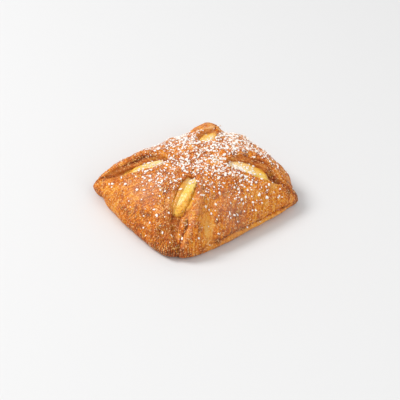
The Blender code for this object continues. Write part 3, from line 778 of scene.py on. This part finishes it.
# Its flank is darker with painted shade along the walls: amber on the near slit's left, below 0, and
# deep yellow on the right slit's right; it is browned towards the outer end of each slit.
flank = np.clip(aside - 0.2, -1.2, 0) * nearSlit * (0.6 + 0.4 * ease(outward, 0.05, 0.3))
browned = np.where(nearSlit, np.minimum(outward, 0.72) + 0.32 + 0.12 * ease(outward, 0.88, 1), outward)
fillingAttributes = {
    "aside": np.clip(aside, -1.1, 0.8) * np.where(nearSlit, 0.45, 1),
    # darker all along the back slit: painted shade under the hood
    "outward": browned + 0.6 * ease(outward, 0.52, 0.74) * leftSlit + 0.25 * backSlit,
    "haze": fillingHaze,
    "flank": flank + 0.9 * np.clip(aside, 0, 1) * rightSlit,
}
sides = []
for down in np.linspace(0, 1, fillingLook["sideRows"] + 1)[1:]:
    ring = fillingGrid[-1].copy()
    ring[:, :2] *= 1 + fillingLook["belly"] * np.sin(np.pi * down)
    ring[:, 2] += (fillingLook["floor"] - ring[:, 2]) * down
    sides.append(ring)
filling = closedPiece("filling_quark", fillingGrid, np.array(sides), fillingAttributes, fillingGrid[0, :, 2].mean(),
                      fillingLook["floor"])
print("  filling", fillingGrid.shape)


print("stage 3: sugar")

sugarLook = {
    "clumps": 1750, "clumpSmallest": 0.42 * mm, "clumpLargest": 1.1 * mm,
    "grains": 4600, "grainSmallest": 0.15 * mm, "grainLargest": 0.38 * mm,
    "dusts": 9000, "dustSmallest": 0.06 * mm, "dustLargest": 0.14 * mm,
    "sink": 0.3,  # share of a grain's height that sits in the surface
    "settled": 0.35,  # share of its height that a grain loses by settling
    "nudge": 0.2 * mm,
    "white": "#FFFEFA", "cream": "#FFF5E8", "crystalSize": 0.5 * mm,
}


def roundShape(finer):
    # an octahedron, or the same with each edge halved and its new points pushed out to the sphere
    shape = np.array([(1, 0, 0), (-1, 0, 0), (0, 1, 0), (0, -1, 0), (0, 0, 1), (0, 0, -1)], float)
    faces = np.array([(0, 2, 4), (2, 1, 4), (1, 3, 4), (3, 0, 4), (2, 0, 5), (1, 2, 5), (3, 1, 5), (0, 3, 5)])
    if not finer:
        return shape, faces
    points = list(map(tuple, shape))
    split = []
    for a, b, c in faces:
        middles = []
        for p, q in ((a, b), (b, c), (c, a)):
            middle = tuple(unitVector(shape[p] + shape[q]))
            if middle not in points:
                points.append(middle)
            middles.append(points.index(middle))
        ab, bc, ca = middles
        split += [(a, ab, ca), (b, bc, ab), (c, ca, bc), (ab, bc, ca)]
    return np.array(points), np.array(split)


def grainsAt(name, draw, middles, radius, finer, upwards):
    # copies of one small faceted shape, stretched and turned at random, at the given middles, and
    # settled flatter along the surface's normal
    amount = len(middles)
    shape, faces = roundShape(finer)
    stretch = draw.uniform(0.65, 1.25, (amount, 1, 3)) * radius[:, None, None]
    uneven = draw.uniform(0.8, 1.2, (amount, len(shape), 1))
    spin, _ = np.linalg.qr(draw.normal(size=(amount, 3, 3)))
    spin *= np.sign(np.linalg.det(spin))[:, None, None]  # turns only, so no shape is inside out
    local = np.einsum("nij,nkj->nki", spin, shape[None] * uneven * stretch)
    rise = np.einsum("nki,ni->nk", local, upwards)
    local -= sugarLook["settled"] * rise[..., None] * upwards[:, None]
    points = local + middles[:, None]
    allFaces = faces[None] + (np.arange(amount) * len(shape))[:, None, None]
    mesh = bpy.data.meshes.new(name)
    mesh.from_pydata(points.reshape(-1, 3).tolist(), [], allFaces.reshape(-1, 3).tolist())
    return addObject(name, mesh)


def scatter(name, seed, kind, finer, spots, spotNormals, weights):
    # grains at spots drawn by weight, many small and few large
    draw = np.random.default_rng(seed)
    amount, smallest, largest = (sugarLook[kind + end] for end in ("s", "Smallest", "Largest"))
    chosen = draw.choice(len(spots), amount, p=weights / weights.sum())
    radius = smallest * (largest / smallest) ** (draw.uniform(size=amount) ** 1.1)
    nudge = draw.normal(size=(amount, 3)) * sugarLook["nudge"]
    rise = spotNormals[chosen] * (radius * (1 - 2 * sugarLook["sink"]))[:, None]
    middles = spots[chosen] + nudge + rise + (pastry["crownX"], pastry["crownY"], 0)
    middles[:, 2] = np.maximum(middles[:, 2], 1.5 * radius)  # none reaches below the table
    return grainsAt(name, draw, middles, radius, finer, spotNormals[chosen])


def cellAreas(grid):
    around = np.linalg.norm(np.roll(grid, -1, axis=1) - grid, axis=-1)
    down = np.linalg.norm(np.gradient(grid, axis=0), axis=-1)
    return around * down


spots = np.concatenate([crustGrid.reshape(-1, 3), fillingGrid.reshape(-1, 3)])
spotNormals = np.concatenate([normal.reshape(-1, 3), fillingNormal.reshape(-1, 3)])
heaps = 0.65 + 0.7 * ease(noiseAt(crustGrid, 2.2 * mm, 33), 0.0, 0.6)
clear = ease(drop, 3, 1) * ease(normal[..., 2], 0.3, 0.6)  # not in the slits, and facing up
crustShare = cellAreas(crustGrid) * heaps * clear
shown = inSlit * between(outward, -0.05, 0.1, 0.7, 1)
fillingShare = (0.7 + 1.5 * ease(outward, 0.6, 0.2)) * cellAreas(fillingGrid) * shown


def weightsOf(power, least):
    # the chance of a grain at each spot: the cover to a power, which draws the coarse grains together
    onCrust = (sugarCover(crustGrid, normal) ** power + least) * crustShare
    return np.concatenate([onCrust.ravel(), (fillingHaze**power * fillingShare).ravel()])


sugarPieces = [
    grainsAt("sugar_lumps", np.random.default_rng(5), lumpMiddles, lumpRadii, True, lumpUpwards),
    scatter("sugar_clumps", 6, "clump", True, spots, spotNormals, weightsOf(1.3, 0.006)),
    scatter("sugar_grains", 7, "grain", False, spots, spotNormals, weightsOf(0.9, 0.009)),
    scatter("sugar_dust", 8, "dust", False, spots, spotNormals, weightsOf(0.9, 0.009)),
]


print("stage 4: materials")

# Baked laminated dough brushed with egg: matte flaky crumb under a thin glaze, golden where it is
# pale and red-brown where it is baked dark, with honey-coloured layers where an edge is cut; the
# darkness also holds painted shade in creases, slits and under the hood, and painted highlights on beads.
doughLook = {
    "pale": "#F6B04A", "golden": "#E27E14", "brown": "#B4520E", "dark": "#6C2E0C", "burnt": "#8E400C",
    "layerPale": "#EA984C", "layerDark": "#7E3A20", "honey": "#F6BC62", "smear": "#FAC455",
    "foot": "#EDA43C", "fleck": "#FBCF90", "blush": "#CF723A", "ochre": "#E09A30",
    "powder": "#FBDDB4", "pinkish": "#DBA286",
    "noises": {"mottle": (4.2 * mm, 5), "speck": (1.8 * mm, 3), "fine": (1.0 * mm, 2),  # size and detail
               "streaky": (1.5 * mm, 4), "fleck": (1.3 * mm, 1), "blush": (3.0 * mm, 3)},
    "bumps": {"fine": (1.0, 0.5 * mm), "speck": (1.0, 0.8 * mm), "streaky": (0.6, 0.45 * mm)},  # strength and depth
    "darker": -2.59,  # balances the noises, so that the toast and painted shading alone say how dark it is
}
tree, place = newMaterial("baked laminated dough with egg glaze", crust)
read = {key: addNode(tree, "Attribute", None, "Vector" if key == "weave" else "Fac", attribute_name=key)
        for key in attributes}
shifted = addNode(tree, "VectorMath", {0: place, 1: (0.31, 0.17, 0.23)}, operation="ADD")
squeezed = addNode(tree, "VectorMath", {0: read["weave"], 1: (1.0, 0.14, 1.0)}, operation="MULTIPLY")
places = {"streaky": squeezed, "fleck": shifted, "blush": shifted}
noise = {}
for key, (size, detail) in doughLook["noises"].items():
    noise[key] = addNode(tree, "TexNoise", {"Vector": places.get(key, place), "Scale": 1 / size, "Detail": detail,
                                            "Roughness": 0.65}, "Fac")

# How dark the top is: the toast with its painted light and shade, the noises, and the fine lines; how
# dark the cut layers are: their waves and the noises, less the toast and its painted shading.
lineAngle = addNode(tree, "Math", {0: noise["mottle"], 1: 9, 2: read["line"]}, operation="MULTIPLY_ADD")
lineWave = addNode(tree, "Math", {0: lineAngle}, operation="SINE")
baked = addNode(tree, "Math", {0: read["toastAndShading"], 1: doughLook["darker"]}, operation="ADD")
for value, factor in ((noise["mottle"], 1.3), (noise["speck"], 1), (noise["fine"], 1), (noise["streaky"], 2),
                      (lineWave, read["lined"])):
    baked = addNode(tree, "Math", {0: value, 1: factor, 2: baked}, operation="MULTIPLY_ADD")
layered = addNode(tree, "Math", {0: read["layer"]}, operation="SINE")
for value, factor in ((noise["streaky"], 9), (noise["speck"], 2), (read["toastAndShading"], -3)):
    layered = addNode(tree, "Math", {0: value, 1: factor, 2: layered}, operation="MULTIPLY_ADD")
layered = addNode(tree, "MapRange", {0: layered, 1: 1.3, 2: 4.9})
topColour = addNode(tree, "ValToRGB", {0: baked}, stops=(
    (0.0, doughLook["pale"]), (0.34, doughLook["golden"]), (0.64, doughLook["brown"]), (1.0, doughLook["dark"])))
layerColour = addNode(tree, "ValToRGB", {0: layered}, stops=(
    (0.0, doughLook["dark"]), (0.35, doughLook["layerDark"]), (0.7, doughLook["brown"]), (1.0, doughLook["layerPale"])))
cutShare = addNode(tree, "Math", {0: read["cut"], 1: 0.75}, operation="MULTIPLY")
crustColour = addNode(tree, "Mix", {0: cutShare, 6: topColour, 7: layerColour}, 2, data_type="RGBA")
bandStrength = addNode(tree, "Math", {0: read["band"], 1: 0.9}, operation="MULTIPLY")
crustColour = layColours(tree, crustColour, doughLook, (
    ("blush", noise["blush"], 1, 0, 0.50, 0.68, 0.55),
    ("ochre", noise["blush"], 1, 0, 0.46, 0.34, 0.5),
    ("fleck", noise["fleck"], 1, 0, 0.57, 0.70, 0.85),
    ("burnt", noise["fleck"], 1, 0, 0.35, 0.24, 0.35),
    ("foot", noise["speck"], 1, 0, 0.36, 0.56, bandStrength),
    ("honey", noise["streaky"], 6, read["honey"], 3.5, 4.5, 0.85),
    ("pinkish", noise["mottle"], 1.6, read["pink"], 0.9, 1.9, 0.4),
    ("powder", noise["fine"], 1.6, read["haze"], 1.1, 1.9, 0.75),
    ("smear", read["smear"], 1, 0, 0, 1, 0.9),
))
bumped = {}
for key, (strength, depth) in doughLook["bumps"].items():
    bumped = {"Normal": addNode(tree, "Bump", {"Height": noise[key], "Strength": strength, "Distance": depth} | bumped)}
shader = addNode(tree, "BsdfPrincipled", bumped | {
    "Base Color": crustColour,
    "Roughness": addNode(tree, "MapRange", {0: noise["mottle"], 1: 0.35, 2: 0.65, 3: 0.42, 4: 0.66}),
    "IOR": 1.4, "Specular IOR Level": 0.2, "Coat Weight": 0.05, "Coat Roughness": 0.22,
    "Subsurface Weight": 0.06, "Subsurface Radius": (1.0, 0.4, 0.15), "Subsurface Scale": 1.0 * mm,
})
addNode(tree, "OutputMaterial", {"Surface": shader})

# Baked quark with egg yolk: a dense moist curd, pale where it is thick and covered with sugar,
# deep yellow and glossy in its hollows, browned where it ran up against the dough, and darker with
# painted shade under the hood and along the walls that overhang it.
quarkLook = {
    "pale": "#FAE0A8", "yellow": "#FACC58", "deep": "#EFA624", "browned": "#AC6C1C", "amber": "#DC9834",
    "powder": "#FFF9EA",
    "noises": {"curd": (2.2 * mm, 4), "fine": (0.8 * mm, 2)},
}
tree, place = newMaterial("baked quark with egg yolk", filling)
read = {key: addNode(tree, "Attribute", None, "Fac", attribute_name=key) for key in fillingAttributes}
noise = {}
for key, (size, detail) in quarkLook["noises"].items():
    noise[key] = addNode(tree, "TexNoise", {"Vector": place, "Scale": 1 / size, "Detail": detail,
                                            "Roughness": 0.65}, "Fac")
browningAndShade = addNode(tree, "MapRange", {0: noise["curd"], 1: 0.3, 2: 0.7, 3: 0.25, 4: 0.53})
asideSquare = addNode(tree, "Math", {0: read["aside"], 1: 2}, operation="POWER")
for value, factor in ((read["outward"], 0.46), (asideSquare, 0.22)):
    browningAndShade = addNode(tree, "Math", {0: value, 1: factor, 2: browningAndShade}, operation="MULTIPLY_ADD")
curdColour = addNode(tree, "ValToRGB", {0: browningAndShade}, stops=(
    (0.45, quarkLook["pale"]), (0.75, quarkLook["yellow"]), (0.92, quarkLook["deep"]), (1.0, quarkLook["browned"])))
quarkColour = layColours(tree, curdColour, quarkLook, (
    ("deep", noise["fine"], 1, 0, 0.42, 0.3, 0.5),
    ("pale", noise["fine"], 1, 0, 0.58, 0.7, 0.6),
    # painted shade on the flank along the walls: deep yellow in the right slit, amber in the near slit
    ("deep", read["flank"], 1, 0, 0.2, 0.9, 0.75),
    ("amber", read["flank"], 1, 0, 0, -0.85, 0.95),
    ("powder", noise["fine"], 1.5, read["haze"], 1.1, 1.9, 0.7),
))
shader = addNode(tree, "BsdfPrincipled", {
    "Base Color": quarkColour, "Roughness": 0.32, "IOR": 1.4, "Coat Weight": 0.3, "Coat Roughness": 0.15,
    "Normal": addNode(tree, "Bump", {"Height": noise["curd"], "Strength": 0.9, "Distance": 0.7 * mm}),
    "Subsurface Weight": 0.35, "Subsurface Radius": (1.0, 0.75, 0.3), "Subsurface Scale": 2 * mm,
})
addNode(tree, "OutputMaterial", {"Surface": shader})

# Crushed white sugar: small clear crystals that scatter to white, with a faint sparkle.
tree, place = newMaterial("crushed white sugar", *sugarPieces)
crystal = addNode(tree, "TexNoise", {"Vector": place, "Scale": 1 / sugarLook["crystalSize"], "Detail": 1,
                                     "Roughness": 0.65}, "Fac")
whites = {6: toLinear(sugarLook["white"]), 7: toLinear(sugarLook["cream"])}
shader = addNode(tree, "BsdfPrincipled", {
    "Base Color": addNode(tree, "Mix", {0: crystal} | whites, 2, data_type="RGBA"), "Roughness": 0.45, "IOR": 1.54,
    "Subsurface Weight": 0.2, "Subsurface Radius": (1.0, 0.95, 0.9), "Subsurface Scale": 0.6 * mm,
})
addNode(tree, "OutputMaterial", {"Surface": shader})


print("stage 5: the pieces on the frame")

for piece, slot in [(crust, "crust"), (filling, "filling")] + [(piece, "crust") for piece in sugarPieces]:
    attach(piece, "root")
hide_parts("crust")
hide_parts("filling")


print("stage 6: floor, light and camera")

stageLook = {
    "floorSize": 6.0, "floorColour": "#E1E1E1",
    "keyPlace": (-0.88, 1.08, 1.54), "keySize": 0.85, "keyPower": 29.0,
    "fillPlace": (0.1, -1.0, 1.0), "fillSize": 1.2, "fillPower": 4.8,
    "skyStrength": 0.58,
}
half = stageLook["floorSize"] / 2
floorMesh = bpy.data.meshes.new("floor")
floorMesh.from_pydata([(-half, -half, 0), (half, -half, 0), (half, half, 0), (-half, half, 0)], [], [(0, 1, 2, 3)])
floor = addObject("floor", floorMesh)
tree, place = newMaterial("matte white card", floor)
grain = addNode(tree, "TexNoise", {"Vector": place, "Scale": 1 / (25 * mm), "Detail": 2, "Roughness": 0.65}, "Fac")
shader = addNode(tree, "BsdfPrincipled", {
    "Base Color": toLinear(stageLook["floorColour"]),
    "Roughness": addNode(tree, "MapRange", {0: grain, 3: 0.55, 4: 0.65}),
})
addNode(tree, "OutputMaterial", {"Surface": shader})

for key in ("key", "fill"):
    lamp = bpy.data.lights.new(key, "AREA")
    lamp.shape = "DISK"
    lamp.size = stageLook[key + "Size"]
    lamp.energy = stageLook[key + "Power"]
    holder = addObject(key, lamp)
    holder.location = stageLook[key + "Place"]
    holder.rotation_euler = (Vector((0, 0, 0.02)) - holder.location).to_track_quat("-Z", "Y").to_euler()

world = bpy.data.worlds.new("pale sky")
bpy.context.scene.world = world
world.use_nodes = True
sky = world.node_tree.nodes["Background"].inputs
sky["Color"].default_value = (1, 1, 1, 1)
sky["Strength"].default_value = stageLook["skyStrength"]
bpy.context.scene.view_settings.view_transform = "Standard"

# The camera's place and turn, fitted to the photograph: its right, up and back directions.
cameraLook = {
    "place": (-0.60201, -0.70466, 0.78671),
    "right": (0.78153, -0.62238, 0.04300),
    "up": (0.37811, 0.52736, 0.76087),
    "back": (-0.49623, -0.57839, 0.64748),
    "sensor": 36.0,
    "lens": 139.12,
}
lens = bpy.data.cameras.new("camera")
lens.sensor_width = cameraLook["sensor"]
lens.lens = cameraLook["lens"]
lens.clip_start = 0.05
lens.clip_end = 20
camera = addObject("camera", lens)
axes = Matrix((cameraLook["right"], cameraLook["up"], cameraLook["back"])).transposed()
camera.matrix_world = Matrix.Translation(cameraLook["place"]) @ axes.to_4x4()
bpy.context.scene.camera = camera

bpy.context.view_layer.update()
